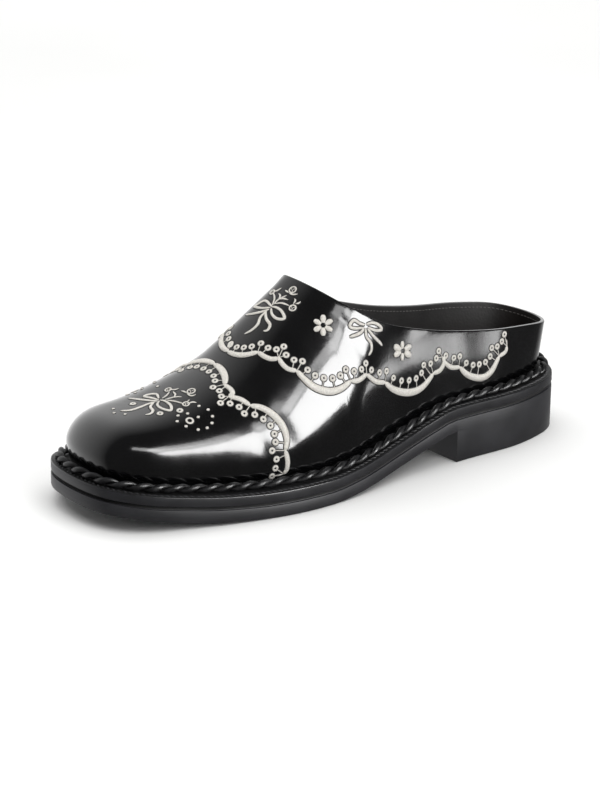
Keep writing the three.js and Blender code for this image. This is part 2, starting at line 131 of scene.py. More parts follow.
TOE_SCALLOPS = [
    {
        "half": 1.6,
        "line": [(214, 364.2), (219, 367.2), (223.4, 372.8), (225.2, 379.4), (224.4, 384.6)],
    },
    {"half": 1.15, "line": [(224.4, 384.6), (230.8, 389.6), (232.4, 393.8), (228.8, 396.6)]},
    {"half": 1.2, "line": [(228.8, 396.6), (239.4, 399), (245.6, 402.4), (250, 405.6)]},
    {
        "half": 1.6,
        "line": [(250, 405.6), (260.8, 407.6), (270.8, 413), (279.4, 421.4), (285, 431.4),
                 (286.8, 441.4), (285.2, 450.4)],
    },
    {"half": 1.15, "line": [(285.2, 450.4), (287.4, 460), (286.8, 469), (283.4, 473.8)]},
]
TOE_END = {"half": 0.4, "line": [(283.4, 473.8), (276.6, 475.8)]}
TOE_RINGS = [
    (208.9, 371.7), (213.6, 376), (215, 380.9), (212.9, 387.4), (219.3, 390.9), (221.4, 396.4),
    (220.4, 403.1), (230, 403.6), (239, 407.1), (244.3, 413.6), (254.7, 414.7), (263.3, 419.3),
    (270.3, 425.7), (274.3, 434), (275.3, 442.1), (272.1, 450.7), (276.4, 459.3), (275.3, 468.3),
    (271.9, 476.4),
]

# The posies on the middle line: ribbons, stems and blossoms, in pixels of the picture
VAMP_POSY = {
    "ribbons": [
        [(272, 306.8), (265.4, 300.8), (258, 304.4), (254.8, 306.8), (262, 308.2), (270.6, 307.6)],
        [(269.4, 309.4), (259, 312.6), (245.8, 315)],
        [(267.2, 310.6), (260.6, 317.2), (257.8, 324.4), (251.4, 330.4), (244.6, 334)],
        [(265.8, 311), (266.2, 318.6), (270, 324.6), (267.6, 330.2), (263.4, 331)],
        [(271.2, 308.2), (272, 314.2), (277, 318.8), (284.4, 318.4), (281.4, 311), (276, 307.4),
         (271.6, 306.8)],
    ],
    "stems": [
        [(272.2, 305.8), (274.6, 298.4), (273.6, 293)],
        [(274.4, 291.6), (278, 290.4), (281.6, 288)],
        [(273.6, 304.6), (278.4, 299.6), (286.8, 295.4)],
        [(278.6, 299.4), (280.4, 295.6), (278.6, 293.6)],
        [(279.4, 299.4), (283.4, 298.6), (288, 300)],
        [(274.6, 303.8), (281.8, 303.2), (289.4, 305.8)],
        [(293.4, 304.2), (295.4, 300.6), (294.6, 298.6)],
        [(295.4, 303.6), (298.6, 303.4), (300.6, 301.6)],
        [(288.6, 292.8), (285.2, 290.2)],
        [(289, 293), (293.4, 294.6), (297.8, 294)],
    ],
    "blossoms": [((272.4, 292.2), 1.35), ((292.6, 308), 1.6), ((292.8, 289.8), 1.75)],
}
TOE_POSY = {
    "ribbons": [
        [(158, 401.4), (148, 400.6), (137, 399.4), (128.4, 398.4)],
        [(159, 400.2), (151.6, 398.2), (144, 396.6), (149.6, 394.6), (156.6, 394.4), (158.8, 398.6)],
        [(155.4, 402.2), (148, 404.2), (140.6, 407.2), (130.6, 410.4), (120.4, 411)],
        [(153.8, 402.6), (150.4, 407), (153, 410.8), (150.2, 414), (145.4, 414.8)],
        [(159.4, 400.8), (157.4, 405), (162.2, 408.8), (170.6, 410.6), (170.8, 405.6),
         (165.4, 401.4), (160.2, 400.2)],
    ],
    "stems": [
        [(161.8, 398.8), (166.6, 395.6), (169.6, 391.8)],
        [(169.8, 389.6), (174.8, 389.8), (179.2, 388.6)],
        [(164.6, 399.8), (174.8, 397.2), (182, 397)],
        [(173.8, 397.4), (175.4, 394.6), (173, 391.6)],
        [(166.6, 400.2), (175.6, 401.6), (183.4, 403.8)],
        [(188.6, 403.6), (192.6, 402.2), (196.6, 402.8)],
        [(187.6, 401.4), (189.6, 399.8)],
        [(186.6, 393.2), (184, 391.6), (181, 390.8)],
        [(186.8, 393.6), (191.4, 396), (196, 394.6)],
    ],
    "blossoms": [((168.2, 389.8), 1.5), ((186, 404), 1.5), ((191.2, 391.2), 1.9)],
}
TOE_RING_DOTS = [(132.9, 404), (160, 413.6), (179.8, 410.6)]
TOE_SEEDS = [(113.1, 409), (113.9, 413.1), (125, 414.4), (157.6, 386.6)]

# Motifs that each side has: two daisies, a bow, and on the toe a ring in a round of seed stitches
DAISIES = [((323.1, 325.4), 10.4), ((402.2, 350.8), 9.6)]  # middle and reach, in pixels
BOW = [
    [(365, 325), (359.6, 323.4), (353.6, 320.2), (349.6, 326.2), (355, 328.4), (363.4, 327.6)],
    [(364.2, 327.4), (361.2, 332.2), (355.8, 335), (349.4, 337)],
    [(366.2, 324.2), (372.8, 322.8), (378.6, 325), (381.6, 329.4), (375.6, 330.4), (367.6, 327.4)],
    [(365.4, 328), (366.6, 336.8), (370.8, 342.8), (371.4, 350), (368.6, 355.4)],
    [(367.4, 328.8), (374.2, 337), (380, 342.8), (382, 345.8)],
]
SEED_RING = ((189.7, 420.7), 1.55)
SEED_ROUND = [
    (177.9, 415.7), (187.6, 413.6), (177.1, 421.4), (186, 426.4), (198.1, 429.7), (207.1, 427.9),
    (211.9, 423.1), (212.4, 416.4), (208.1, 409.7), (198.1, 417.1), (198.9, 406.1),
]

# Stitch sizes, in millimetres
STEP = 0.7
RIBBON_HALF = 0.8
STEM_HALF = 0.52
STALK_HALF = 0.24
STALK_START = 1.3  # share of a ring's radius at which its stalk starts
STALK_STEP = 0.6
STROKE_END = 0.5  # half width of a ribbon's ends
STEM_END = 0.3
BOW_END = 0.55
BLOSSOM_HALF = 0.42
BLOSSOM_PETAL = 0.3
PETAL_WIDTHS = (0.4, 0.78, 0.98, 1.0, 0.86, 0.42)
SEED_RING_HALF = 0.5
BORDER_END = 1.05  # half width of a scallop's ends
BORDER_SWELL = 1.12
PILE = 0.5  # height of a stitched band for each millimetre of half width, and no more than
PILE_MOST = 0.75
RING_RADIUS = 1.08
RING_HALF = 0.62
DAISY_TURN = 30
DAISY_EYE = 0.24  # share of a daisy's reach that its open middle takes
PETAL_SHARE = 0.36  # half width of a petal for each millimetre of its length
SEED_LENGTH = 1.5
SEED_HALF = 0.7
SHADE_HALO_WIDTH = 0.45  # width of the pulled-in leather beside a band, a matt near-black strip that paints its shade
SHADE_HALO_PILE = 0.14

# The cord, the welt and the seams, in millimetres
CORD_LAY = 17.0  # one whole turn of its two strands
CORD_TWIST = 1.1  # how far a strand's centre lies from the cord's
CORD_STRAND = 1.15
CORD_LUMP = 0.3  # how much fatter a strand is where it comes to the front
CORD_FRONT = math.radians(155)  # where that is, round the cord from its inner side by its top
CORD_DROP = 0.35
CORD_STEP = 0.9
CORD_BLUR = 4.0
WELT_SEAM_INSET = 2.4
WELT_STITCH = 2.9
WELT_STITCH_LEAN = 1.5
COLLAR_SEAM_DROP = 2.6
COLLAR_STITCH = 2.4
COLLAR_THREAD = 0.22  # half width, and height
WELT_THREAD = 0.42  # half width
WELT_PILE = 0.4
STITCH_SHARE = 0.72  # thread shown of each stitch's pitch
STITCH_WIDTHS = (0.55, 1, 1, 0.55)
STITCH_HEIGHTS = (0.3, 1, 1, 0.3)
WELT_TO_MIDSOLE = 3.0  # from the welt's top down to between the midsole's two faces
GROOVE_SHADE_DEPTH = 1.7  # depth below the midsole that the groove in the outsole's edge takes, painted near-black as the groove's shade
BREAST = 56.4  # y of the heel's front
HEEL_TOP = 15.8

# The softboxes: middle as azimuth and elevation from the shoe in degrees, distance and size in
# metres, turn in degrees, power in watts, and the rays that see it
SOFTBOXES = [
    {"name": "key", "at": (111.5, 20), "far": 1.3, "size": (0.68, 0.86), "turn": 20, "power": 33,
     "gloss": True},
    {"name": "corner_key", "at": (92, 39), "far": 1.3, "size": (0.3, 0.26), "turn": 20, "power": 1.6,
     "gloss": True},
    {"name": "upper_key", "at": (80, 43.5), "far": 1.3, "size": (0.62, 0.17), "turn": -30, "power": 1.8,
     "gloss": True},
    {"name": "side", "at": (143.5, -2.6), "far": 0.341, "size": (0.03, 0.03), "turn": 0, "power": 0.02,
     "gloss": True},
    {"name": "fill", "at": (95, 35), "far": 1.4, "size": (1.0, 1.0), "turn": 0, "power": 8,
     "gloss": False},
]
LIGHT_AIM = 0.03  # height that the softboxes are placed about, in metres
FLOOR_SIZE = 12
FLOOR_GAP = 0.0002  # below the sole, so that the two faces don't lie in one plane
OVERHEAD = 2.2  # irradiance from above
OVERHEAD_SPREAD = 80  # degrees
WALL = (-95, 0)  # the pale wall behind the shoe, as azimuth and elevation
WALL_LIGHT = 1.3
ROOM_LIGHT = 0.1
ROOM_START = 0.0  # cosine of the angle from the wall at which the room is dark

HALF_ROUND = [(-1, -0.5), (-0.94, 0.3), (-0.62, 0.78), (0, 1), (0.62, 0.78), (0.94, 0.3), (1, -0.5)]
ROUND = [(math.cos(a * math.pi / 5), math.sin(a * math.pi / 5)) for a in range(10)]


# Small tools


def select_only(piece):
    bpy.ops.object.select_all(action="DESELECT")
    piece.select_set(True)
    bpy.context.view_layer.objects.active = piece


def merged_copy(node, name):
    """A piece with the merged, four-sided faces of a CAD node."""
    piece = bpy.data.objects.new(name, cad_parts[node].data.copy())
    bpy.context.scene.collection.objects.link(piece)
    piece.data.materials.clear()
    select_only(piece)
    bpy.ops.mesh.customdata_custom_splitnormals_clear()
    bpy.ops.object.mode_set(mode="EDIT")
    bpy.ops.mesh.select_all(action="SELECT")
    bpy.ops.mesh.remove_doubles(threshold=WELD)
    bpy.ops.mesh.tris_convert_to_quads(face_threshold=QUAD_BEND, shape_threshold=QUAD_SKEW)
    bpy.ops.object.mode_set(mode="OBJECT")
    return piece


def worked(piece, kind, **settings):
    """Adds a modifier and applies it."""
    select_only(piece)
    modifier = piece.modifiers.new(kind.lower(), kind)
    for key, value in settings.items():
        setattr(modifier, key, value)
    bpy.ops.object.modifier_apply(modifier=modifier.name)
    return piece


def smoothed(piece, angle=40):
    select_only(piece)
    bpy.ops.object.shade_smooth_by_angle(angle=math.radians(angle))
    return piece


def worn(piece, slot, *nodes):
    """The piece rides on the shoe, and stands for these CAD nodes."""
    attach(piece, "root")
    if nodes:
        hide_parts(*nodes)
    return piece


def smooth_line(points, step, closed=False):
    """Points a step apart on a smooth curve through these, which may have two or three numbers."""
    knots = [Vector(p) for p in points]
    count = len(knots)
    made = []
    for i in range(count if closed else count - 1):
        a = knots[i - 1] if i or closed else knots[0] * 2 - knots[1]
        b, c = knots[i], knots[(i + 1) % count]
        d = knots[(i + 2) % count] if i + 2 < count or closed else c * 2 - b
        pieces = max(1, round((c - b).length / step))
        for k in range(pieces):
            t = k / pieces
            made.append(
                (b * 2 + (c - a) * t + (a * 2 - b * 5 + c * 4 - d) * t**2
                 + (b * 3 - a - c * 3 + d) * t**3) / 2
            )
    if not closed:
        made.append(knots[-1])
    return made


def evened(points, step, closed=False):
    """The same line with its points evenly spaced."""
    line = points + points[:1] if closed else points
    lengths = [0.0]
    for a, b in zip(line, line[1:]):
        lengths.append(lengths[-1] + (b - a).length)
    count = max(2, round(lengths[-1] / step))
    made, k = [], 0
    for i in range(count if closed else count + 1):
        at = lengths[-1] * i / count
        while k < len(lengths) - 2 and lengths[k + 1] < at:
            k += 1
        span = lengths[k + 1] - lengths[k] or 1.0
        made.append(line[k].lerp(line[k + 1], (at - lengths[k]) / span))
    return made


# Camera


def camera_axes():
    """Back, right and up of the picture's camera before its roll."""
    a, e = math.radians(CAMERA_AZIMUTH), math.radians(CAMERA_ELEVATION)
    back = Vector((math.sin(a) * math.cos(e), -math.cos(a) * math.cos(e), math.sin(e)))
    right = Vector((math.cos(a), math.sin(a), 0))
    return back, right, back.cross(right)


def camera_place():
    return (camera_axes()[0] * CAMERA_DISTANCE + Vector(AIM)) * MM


def make_camera():
    back, right, up = camera_axes()
    roll = math.radians(CAMERA_ROLL)
    turned = (math.cos(roll) * right - math.sin(roll) * up, math.sin(roll) * right + math.cos(roll) * up)
    data = bpy.data.cameras.new("camera")
    camera = bpy.data.objects.new("camera", data)
    bpy.context.scene.collection.objects.link(camera)
    axes = Matrix((turned[0], turned[1], back)).transposed().to_4x4()
    camera.matrix_world = Matrix.Translation(camera_place()) @ axes
    width, height = FRAME_SIZE
    data.sensor_width = SENSOR
    data.lens = CAMERA_DISTANCE * PIXELS_PER_MM * SENSOR / height
    data.shift_x = (width / 2 - AIM_PIXEL[0]) / height
    data.shift_y = (AIM_PIXEL[1] - height / 2) / height
    data.clip_start, data.clip_end = 0.01, 50
    bpy.context.scene.camera = camera
    bpy.context.scene.view_settings.view_transform = "Standard"


def sight(pixel):
    """Direction in which the picture's camera sees a pixel."""
    back, right, up = camera_axes()
    roll = math.radians(CAMERA_ROLL)
    across, down = pixel[0] - AIM_PIXEL[0], AIM_PIXEL[1] - pixel[1]
    x = math.cos(roll) * across + math.sin(roll) * down
    y = math.cos(roll) * down - math.sin(roll) * across
    reach = CAMERA_DISTANCE * PIXELS_PER_MM
    return (right * (x / reach) + up * (y / reach) - back).normalized()


# Materials


def linear(code):
    """Linear colour of an sRGB hex code."""
    parts = [int(code[i : i + 2], 16) / 255 for i in (1, 3, 5)]
    return [c / 12.92 if c <= 0.04045 else ((c + 0.055) / 1.055) ** 2.4 for c in parts] + [1]


def add(tree, kind, links=None, **settings):
    """Adds a node with its settings and the links into it."""
    node = tree.nodes.new("ShaderNode" + kind)
    for key, value in settings.items():
        if hasattr(node, key):
            setattr(node, key, value)
        else:
            node.inputs[key.replace("_", " ")].default_value = value
    for key, socket in (links or {}).items():
        tree.links.new(socket, node.inputs[key])
    return node


def new_material(name):
    material = bpy.data.materials.new(name)
    material.use_nodes = True
    material.node_tree.nodes.clear()
    return material, material.node_tree


def finished(tree, shader):
    add(tree, "OutputMaterial", {"Surface": shader.outputs["BSDF"]})


def toned(tree, value, dark, light, low=0.35, high=0.65):
    """A colour between two, by a value."""
    ramp = add(tree, "ValToRGB", {"Fac": value})
    ramp.color_ramp.elements[0].position, ramp.color_ramp.elements[0].color = low, linear(dark)
    ramp.color_ramp.elements[1].position, ramp.color_ramp.elements[1].color = high, linear(light)
    return ramp.outputs["Color"]


def ranged(tree, value, low, high, start=0.0, end=1.0):
    made = add(tree, "MapRange", {"Value": value})
    made.inputs["From Min"].default_value, made.inputs["From Max"].default_value = start, end
    made.inputs["To Min"].default_value, made.inputs["To Max"].default_value = low, high
    return made.outputs["Result"]


def polished_calf():
    """Black box calf, glazed: mirror-like broad highlights that break up in fine grain."""
    material, tree = new_material("polished_black_calf")
    place = add(tree, "TexCoord").outputs["Object"]
    grain = add(tree, "TexVoronoi", {"Vector": place}, Scale=1100, feature="SMOOTH_F1")
    pores = add(tree, "TexNoise", {"Vector": place}, Scale=2600, Detail=2)
    cloud = add(tree, "TexNoise", {"Vector": place}, Scale=55, Detail=3)
    fine = add(tree, "Bump", {"Height": grain.outputs["Distance"]}, Strength=0.05, Distance=0.0002)
    soft = add(tree, "Bump", {"Height": pores.outputs["Fac"], "Normal": fine.outputs["Normal"]},
               Strength=0.03, Distance=0.0001)
    waves = add(tree, "Bump", {"Height": cloud.outputs["Fac"], "Normal": soft.outputs["Normal"]},
                Strength=0.1, Distance=0.0012)
    shader = add(
        tree, "BsdfPrincipled",
        {
            "Base Color": toned(tree, cloud.outputs["Fac"], "#060607", "#0B0B0C"),
            "Roughness": ranged(tree, cloud.outputs["Fac"], 0.11, 0.17, 0.3, 0.7),
            "Normal": waves.outputs["Normal"],
        },
        IOR=1.5, Coat_Weight=0.35, Coat_Roughness=0.08,
    )
    finished(tree, shader)
    return material


def matt_leather(name, dark, light, grain_scale=900, rough=(0.55, 0.7), bump=0.25):
    """Undressed or lining leather: no shine, a visible grain. Also the near-black strips of painted shade
    in the sole's groove and beside the stitched bands.
    """
    material, tree = new_material(name)
    place = add(tree, "TexCoord").outputs["Object"]
    grain = add(tree, "TexVoronoi", {"Vector": place}, Scale=grain_scale, feature="SMOOTH_F1")
    cloud = add(tree, "TexNoise", {"Vector": place}, Scale=70, Detail=4)
    raised = add(tree, "Bump", {"Height": grain.outputs["Distance"]}, Strength=bump, Distance=0.0003)
    shader = add(
        tree, "BsdfPrincipled",
        {
            "Base Color": toned(tree, cloud.outputs["Fac"], dark, light),
            "Roughness": ranged(tree, cloud.outputs["Fac"], *rough, 0.3, 0.7),
            "Normal": raised.outputs["Normal"],
        },
        IOR=1.4,
    )
    finished(tree, shader)
    return material


def satin_thread(name, dark, light, pitch=0.42, sheen=0.3):
    """Rayon floss laid side by side across each band: soft gloss, a fine rib along the band.
    The threads are 0.42 mm apart, coarser than real floss, so that they show."""
    material, tree = new_material(name)
    lay = add(tree, "UVMap", uv_map="lay")
    split = add(tree, "SeparateXYZ", {"Vector": lay.outputs["UV"]})
    turn = add(tree, "Math", {0: split.outputs["X"]}, operation="MULTIPLY")
    turn.inputs[1].default_value = 2 * math.pi / pitch
    rib = add(tree, "Math", {0: turn.outputs[0]}, operation="SINE")
    place = add(tree, "TexCoord").outputs["Object"]
    fuzz = add(tree, "TexNoise", {"Vector": place}, Scale=1500, Detail=2)
    rough = add(tree, "Bump", {"Height": fuzz.outputs["Fac"]}, Strength=0.3, Distance=0.0002)
    ribs = add(tree, "Bump", {"Height": rib.outputs[0], "Normal": rough.outputs["Normal"]},
               Strength=0.35, Distance=0.0001)
    shader = add(
        tree, "BsdfPrincipled",
        {"Base Color": toned(tree, fuzz.outputs["Fac"], dark, light), "Normal": ribs.outputs["Normal"]},
        Roughness=0.5, Sheen_Weight=sheen,
    )
    finished(tree, shader)
    return material


def waxed_cord():
    """Waxed black leather cord: soft shine on each lump, fine fibres along the strand."""
    material, tree = new_material("waxed_black_cord")
    lay = add(tree, "UVMap", uv_map="lay").outputs["UV"]
    stretched = add(tree, "Mapping", {"Vector": lay}, Scale=(0.35, 9, 1))
    fibre = add(tree, "TexNoise", {"Vector": stretched.outputs["Vector"]}, Scale=1.4, Detail=3)
    place = add(tree, "TexCoord").outputs["Object"]
    wax = add(tree, "TexNoise", {"Vector": place}, Scale=240, Detail=3)
    raised = add(tree, "Bump", {"Height": fibre.outputs["Fac"]}, Strength=0.45, Distance=0.0004)
    shader = add(
        tree, "BsdfPrincipled",
        {
            "Base Color": toned(tree, wax.outputs["Fac"], "#0C0C0D", "#1C1C1E"),
            "Roughness": ranged(tree, wax.outputs["Fac"], 0.28, 0.5, 0.3, 0.7),
            "Normal": raised.outputs["Normal"],
        },
        IOR=1.48,
    )
    finished(tree, shader)
    return material


def dressed_edge(name, dark, light, rough=(0.3, 0.42), layers=900):
    """Sanded, inked and ironed edge of the sole: satin, with faint lines along the layers."""
    material, tree = new_material(name)
    place = add(tree, "TexCoord").outputs["Object"]
    flat = add(tree, "Mapping", {"Vector": place}, Scale=(0.06, 0.06, 1))
    lines = add(tree, "TexNoise", {"Vector": flat.outputs["Vector"]}, Scale=layers, Detail=2)
    cloud = add(tree, "TexNoise", {"Vector": place}, Scale=60, Detail=5)
    raised = add(tree, "Bump", {"Height": lines.outputs["Fac"]}, Strength=0.12, Distance=0.0002)
    shader = add(
        tree, "BsdfPrincipled",
        {
            "Base Color": toned(tree, cloud.outputs["Fac"], dark, light),
            "Roughness": ranged(tree, cloud.outputs["Fac"], *rough, 0.3, 0.7),
            "Normal": raised.outputs["Normal"],
        },
        IOR=1.45,
    )
    finished(tree, shader)
    return material


def pale_floor():
    """Matt studio paper, near white, so that the picture's ground is pale and plain."""
    material, tree = new_material("pale_floor")
    place = add(tree, "TexCoord").outputs["Object"]
    cloud = add(tree, "TexNoise", {"Vector": place}, Scale=3)
    tone = toned(tree, cloud.outputs["Fac"], "#F2F2F1", "#F6F6F5")
    shader = add(tree, "BsdfPrincipled", {"Base Color": tone}, Roughness=0.9, Specular_IOR_Level=0.1)
    finished(tree, shader)
    return material


# Surface of the upper


class Skin:
    """The upper's finished surface, in millimetres, for laying things on it."""

    def __init__(self, piece, base):
        points = [v.co / MM for v in piece.data.vertices]
        self.tree = BVHTree.FromPolygons(points, [list(p.vertices) for p in piece.data.polygons])
        self.base = base

    def seen(self, pixel):
        place, normal, _, _ = self.tree.ray_cast(camera_place() / MM, sight(pixel))
        return None if place is None else (place, normal)

    def fan(self, y, lean):
        """The point of the outside at a place along the shoe and a lean from upright."""
        centre = Vector((MIDDLE_LINE, y, self.base(y)))
        way = Vector((math.sin(lean), 0, math.cos(lean)))
        place, normal, _, _ = self.tree.ray_cast(centre + way * FAN_REACH, -way)
        return place, normal

    def opposite(self, place):
        """The point of the other side that mirrors this one."""
        rise = place.z - self.base(place.y)
        return self.fan(place.y, -math.atan2(place.x - MIDDLE_LINE, rise))

    def nearest(self, place):
        found, normal, _, _ = self.tree.find_nearest(place)
        return found, normal

    def lining(self, place):
        """The nearest point of the inside."""
        low, high = LINING_ENDS
        inward = Vector((MIDDLE_LINE - place.x, max(low, min(high, place.y)) - place.y, 0)).normalized()
        start = place + inward * LINING_STEP
        found, normal, _, _ = self.tree.ray_cast(start, -inward, LINING_LOOK)
        return (found, normal) if found is not None else self.nearest(place)


def height_table(node, top=True):
    """Height of a plate's top or bottom face along the shoe, in millimetres."""
    rows = {}
    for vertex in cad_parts[node].data.vertices:
        y = round(vertex.co.y / MM, 1)
        z = vertex.co.z / MM
        rows[y] = max(rows.get(y, -1e9), z) if top else min(rows.get(y, 1e9), z)
    ys = sorted(rows)

    def read(y):
        if y <= ys[0]:
            return rows[ys[0]]
        for a, b in zip(ys, ys[1:]):
            if y <= b:
                return rows[a] + (rows[b] - rows[a]) * (y - a) / (b - a)
        return rows[ys[-1]]

    return read


def make_upper(base):
    piece = merged_copy("upper", "upper_leather")
    rims = rim_loops(piece, base)
    worked(piece, "BEVEL", width=RIM_BEVEL * MM, segments=1, limit_method="ANGLE", angle_limit=SHARP)
    worked(piece, "SUBSURF", levels=2, render_levels=2)
    crease(piece, Skin(piece, base))
    for polygon in piece.data.polygons:
        polygon.use_smooth = True
    line_inside(piece, base)
    return worn(piece, "upper_leather", "upper"), rims


def crease(piece, skin):
    """Presses the soft troughs and ridges into the outside."""
    for fold in CREASES:
        ends = [skin.fan(y, math.radians(lean)) for y, lean in fold["ends"]]
        leans = [math.radians(lean) for _, lean in fold["ends"]]
        line = []
        for i in range(CREASE_STEPS + 1):
            t = i / CREASE_STEPS
            y = fold["ends"][0][0] * (1 - t) + fold["ends"][1][0] * t
            line.append((skin.fan(y, leans[0] * (1 - t) + leans[1] * t)[0], math.sin(math.pi * t)))
        tree = KDTree(len(line))
        for i, (place, _) in enumerate(line):
            tree.insert(place, i)
        tree.balance()
        outward = (ends[0][1] + ends[1][1]).normalized()
        for vertex in piece.data.vertices:
            place = vertex.co / MM
            _, i, far = tree.find(place)
            if far > CREASE_REACH * fold["width"] or vertex.normal.dot(outward) < CREASE_FACING:
                continue
            press = fold["depth"] * line[i][1] * math.exp(-((far / fold["width"]) ** 2))
            vertex.co -= vertex.normal * press * MM


def line_inside(piece, base):
    """Gives the inner faces the second material, the lining."""
    for polygon in piece.data.polygons:
        centre = polygon.center / MM
        along = max(CAVITY[0], min(CAVITY[1], centre.y))
        middle = Vector((MIDDLE_LINE, along, base(centre.y) + CAVITY_RISE))
        polygon.material_index = 1 if polygon.normal.dot(centre - middle) < 0 else 0


def rim_loops(piece, base):
    """The collar's outer and inner corner lines, in millimetres."""
    sides = {}
    for polygon in piece.data.polygons:
        for key in polygon.edge_keys:
            sides.setdefault(key, []).append(polygon.normal)
    joined = {}
    for (a, b), normals in sides.items():
        low = min(piece.data.vertices[i].co.z / MM - base(piece.data.vertices[i].co.y / MM) for i in (a, b))
        if low > RIM_LOW and len(normals) == 2 and normals[0].angle(normals[1]) > SHARP:
            joined.setdefault(a, []).append(b)
            joined.setdefault(b, []).append(a)
    loops = []
    while joined:
        here = next(iter(joined))
        loop = [here]
        while joined.get(here):
            there = joined[here].pop()
            joined[there].remove(here)
            loop.append(there)
            here = there
        for i in set(loop):
            if i in joined and not joined[i]:
                del joined[i]
        loops.append([piece.data.vertices[i].co / MM for i in loop])
    long_loops = (loop for loop in loops if len(loop) > RIM_POINTS)
    loops = sorted(long_loops, key=lambda loop: max(p.x for p in loop))
    return {"inner": loops[0][:-1], "outer": loops[-1][:-1]}


# Bands swept along lines


def band(centres, ups, halves, piles, closed=False):
    """Stations of a band: where it is, its side and up directions, half width and height."""
    count = len(centres)
    made = []
    for i in range(count):
        ahead = centres[(i + 1) % count] if closed or i + 1 < count else centres[i]
        behind = centres[i - 1] if closed or i else centres[i]
        tangent = (ahead - behind).normalized()
        side = tangent.cross(ups[i]).normalized()
        made.append((centres[i], side, side.cross(tangent), halves[i], piles[i]))
    return made, closed


def swept(name, bands, section, *materials):
    """One mesh of all these bands, with a UV map that runs along and round each, in millimetres."""
    points, faces, uvs = [], [], []
    ring = len(section)
    for stations, closed in bands:
        first = len(points)
        run = [0.0]
        for i, (centre, side, up, half, pile) in enumerate(stations):
            if i:
                run.append(run[-1] + (centre - stations[i - 1][0]).length)
            for across, rise in section:
                points.append((centre + side * (half * across) + up * (pile * rise)) * MM)
        if closed:
            run.append(run[-1] + (stations[0][0] - stations[-1][0]).length)
        count = len(stations)
        for i in range(count if closed else count - 1):
            for k in range(ring):
                a, b = first + i * ring, first + (i + 1) % count * ring
                n = (k + 1) % ring
                faces.append((a + k, b + k, b + n, a + n))
                v, w = k / ring, (k + 1) / ring
                uvs += [(run[i], v), (run[i + 1], v), (run[i + 1], w), (run[i], w)]
        if not closed:
            last = first + (count - 1) * ring
            faces.append(tuple(range(first, first + ring)))
            faces.append(tuple(range(last + ring - 1, last - 1, -1)))
            uvs += [(run[0], 0)] * ring + [(run[-1], 0)] * ring
    mesh = bpy.data.meshes.new(name)
    mesh.from_pydata(points, [], faces)
    layer = mesh.uv_layers.new(name="lay")
    for loop, uv in zip(layer.data, uvs):
        loop.uv = uv
    piece = bpy.data.objects.new(name, mesh)
    bpy.context.scene.collection.objects.link(piece)
    for material in materials:
        mesh.materials.append(material)
    select_only(piece)
    bpy.ops.object.mode_set(mode="EDIT")
    bpy.ops.mesh.select_all(action="SELECT")
    bpy.ops.mesh.normals_make_consistent(inside=False)
    bpy.ops.object.mode_set(mode="OBJECT")
    return smoothed(piece, 60)


def pile_of(half):
    return min(PILE * half, PILE_MOST) + 0.1


def swelling(count, ends, middle):
    """Half widths that swell from the ends of a stroke to its middle."""
    rises = [max(0.0, math.sin(math.pi * i / (count - 1))) ** 0.7 for i in range(count)]
    return [ends + (middle - ends) * rise for rise in rises]


def rounded(halves):
    """Narrows both ends of a stroke to a round tip."""
    tips = (0.45, 0.85)
    return [h * min(tips[min(i, 1)] if i < 2 else 1, tips[min(j, 1)] if j < 2 else 1)
            for h, i, j in zip(halves, range(len(halves)), range(len(halves) - 1, -1, -1))]


